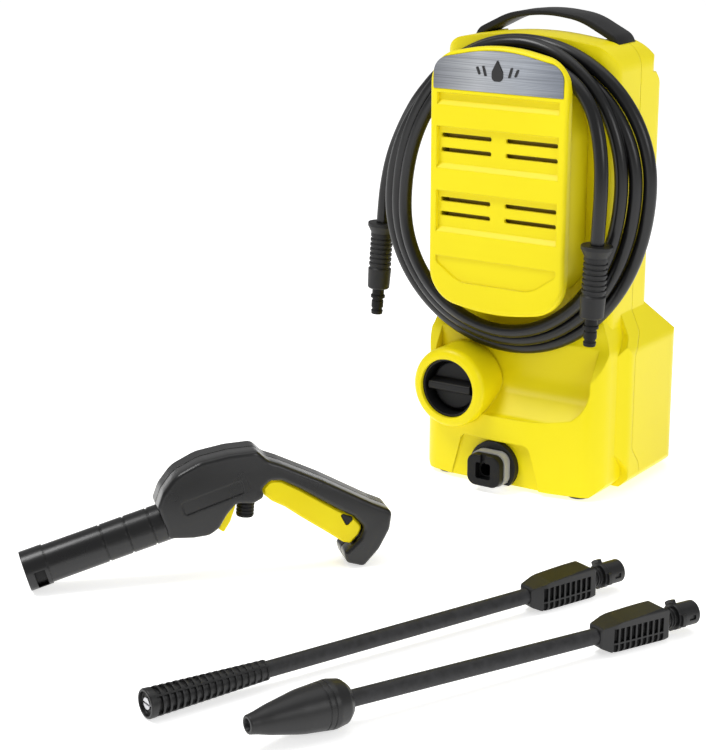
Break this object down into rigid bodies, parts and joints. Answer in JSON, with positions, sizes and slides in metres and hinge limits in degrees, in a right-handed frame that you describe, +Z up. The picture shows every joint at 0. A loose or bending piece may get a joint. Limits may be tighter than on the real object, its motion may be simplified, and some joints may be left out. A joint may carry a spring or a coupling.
{
  "type": "pressure washer",
  "caption": "Small upright electric pressure washer with a carrying strap, hose wound on a front panel, rotary switch, trigger gun and two push-in lances laid on the floor.",
  "frame": {"origin": "on the floor under the centre of the machine's housing", "axes": "-Y is the machine's front, where the hose, switch and outlet are; +X is the viewer's right when facing the front; +Z is up"},
  "size_m": [0.4499, 0.6563, 0.39],
  "materials": {
    "yellow_plastic": "moulded satin, bright lemon yellow",
    "panel_plastic": "moulded satin, bright lemon yellow, finely grained in the recesses",
    "yellow_trim": "moulded satin, bright lemon yellow",
    "charcoal_plastic": "fine grained charcoal",
    "black_plastic": "plain black",
    "well_plastic": "fine grained charcoal",
    "badge": "brushed silver foil",
    "emblem": "smooth dark print, slightly raised",
    "coupling_grey": "mid grey, fine grained",
    "spring_steel": "bright drawn wire",
    "brass": "machined",
    "pump_alloy": "die cast",
    "ceramic_steel": "ground and polished",
    "machined_steel": "machined",
    "gear_plastic": "natural moulded plastic",
    "core_steel": "stacked sheet",
    "carbon": "pressed carbon",
    "rubber_black": "soft satin black",
    "hose_skin": "smooth satin black",
    "gun_plastic": "satin black",
    "lance_tube": "slightly mottled matt black",
    "lance_plastic": "fine grained black",
    "cone_plastic": "fine grained charcoal"
  },
  "bodies": {
    "machine": {"front_shell": "yellow_plastic", "rear_shell": "yellow_plastic", "hose_panel": "panel_plastic", "badge_plate": "badge", "badge_emblem": "emblem", "carry_handle": "charcoal_plastic", "switch_well": "well_plastic", "switch_block": "black_plastic", "outlet_collar": "charcoal_plastic", "coupling_face": "black_plastic", "coupling_spring": "spring_steel", "outlet_socket": "brass", "pump_head": "pump_alloy", "cylinder_block": "pump_alloy", "piston_springs": "spring_steel", "thrust_bearing": "machined_steel", "gearbox_case": "black_plastic", "stator": "core_steel", "motor_bearings": "machined_steel", "carbon_brushes": "carbon", "water_inlet": "brass", "pressure_switch": "black_plastic", "cable_gland": "rubber_black", "rubber_feet": "rubber_black", "housing_screws": "spring_steel", "hose_coil": "hose_skin", "hose_tail_left": "hose_skin", "hose_tail_right": "hose_skin", "hose_grip_left": "rubber_black", "hose_grip_right": "rubber_black", "hose_nipple_left": "brass", "hose_nipple_right": "brass"},
    "switch_knob": {"switch_knob": "charcoal_plastic"},
    "coupling_sleeve": {"coupling_housing": "coupling_grey"},
    "motor_rotor": {"armature": "core_steel", "cooling_fan": "black_plastic"},
    "wobble_drive": {"drive_gear": "gear_plastic", "wobble_plate": "machined_steel"},
    "piston_1": {"piston_1": "ceramic_steel"},
    "piston_2": {"piston_2": "ceramic_steel"},
    "piston_3": {"piston_3": "ceramic_steel"},
    "gun": {"gun_shell_left": "gun_plastic", "gun_shell_right": "gun_plastic", "gun_barrel": "gun_plastic", "gun_socket": "black_plastic", "gun_valve": "black_plastic", "gun_screws": "spring_steel"},
    "gun_trigger": {"gun_trigger": "yellow_trim"},
    "trigger_lock": {"trigger_lock": "charcoal_plastic"},
    "hose_release": {"hose_release": "yellow_trim"},
    "flat_lance": {"flat_tube": "lance_tube", "flat_sleeve": "lance_plastic", "flat_nozzle": "machined_steel", "flat_grip": "lance_plastic", "flat_plug": "lance_plastic"},
    "rotor_lance": {"rotor_tube": "lance_tube", "rotor_cone": "cone_plastic", "rotor_grip": "lance_plastic", "rotor_plug": "lance_plastic"},
    "rotor_core": {"rotor_core": "black_plastic"}
  },
  "joints": [
    {"name": "switch_turn", "type": "hinge", "parent": "machine", "child": "switch_knob", "pos_m": [-0.047, -0.07, 0.082], "axis": [0, 1, 0], "range_deg": [0, 90]},
    {"name": "coupling_push", "type": "slide", "parent": "machine", "child": "coupling_sleeve", "axis": [0, 1, 0], "range_m": [0, 0.004], "stiffness_N_per_m": 1500, "springref_m": -0.004, "deforming": ["coupling_spring"]},
    {"name": "motor_spin", "type": "hinge", "parent": "machine", "child": "motor_rotor", "pos_m": [0.016, -0.003, 0.2], "axis": [0, 0, 1], "continuous": true},
    {"name": "wobble_spin", "type": "hinge", "parent": "machine", "child": "wobble_drive", "pos_m": [-0.014, -0.003, 0.11], "axis": [0, 0, 1], "continuous": true},
    {"name": "piston_1_stroke", "type": "slide", "parent": "machine", "child": "piston_1", "axis": [0, 0, -1], "range_m": [0, 0.006], "stiffness_N_per_m": 2500, "springref_m": -0.004, "deforming": ["piston_springs"]},
    {"name": "piston_2_stroke", "type": "slide", "parent": "machine", "child": "piston_2", "axis": [0, 0, -1], "range_m": [0, 0.006], "stiffness_N_per_m": 2500, "springref_m": -0.004},
    {"name": "piston_3_stroke", "type": "slide", "parent": "machine", "child": "piston_3", "axis": [0, 0, -1], "range_m": [0, 0.006], "stiffness_N_per_m": 2500, "springref_m": -0.004},
    {"name": "gun_lift", "type": "slide", "parent": "machine", "child": "gun", "axis": [0, 0, 1], "range_m": [0, 0.25]},
    {"name": "trigger_pull", "type": "hinge", "parent": "gun", "child": "gun_trigger", "pos_m": [-0.05323, -0.32309, 0.0765], "axis": [0.7431, -0.6691, 0], "range_deg": [0, 6], "stiffness_Nm_per_rad": 0.6, "springref_deg": -17.19},
    {"name": "lock_slide", "type": "slide", "parent": "gun_trigger", "child": "trigger_lock", "axis": [-0.7431, 0.6691, 0], "range_m": [0, 0.0015]},
    {"name": "release_press", "type": "hinge", "parent": "gun", "child": "hose_release", "pos_m": [-0.07263, -0.34464, 0.0595], "axis": [-0.7431, 0.6691, 0], "range_deg": [0, 3], "stiffness_Nm_per_rad": 0.3, "springref_deg": -11.46},
    {"name": "flat_lance_lift", "type": "slide", "parent": "machine", "child": "flat_lance", "axis": [0, 0, 1], "range_m": [0, 0.25]},
    {"name": "rotor_lance_lift", "type": "slide", "parent": "machine", "child": "rotor_lance", "axis": [0, 0, 1], "range_m": [0, 0.25]},
    {"name": "rotor_spin", "type": "hinge", "parent": "rotor_lance", "child": "rotor_core", "pos_m": [0.12561, -0.54468, 0.01661], "axis": [0.4067, 0.9135, -0.0134], "continuous": true}
  ],
  "couplings": [
    {"joint": "wobble_spin", "follows": "motor_spin", "ratio": -0.25}
  ]
}
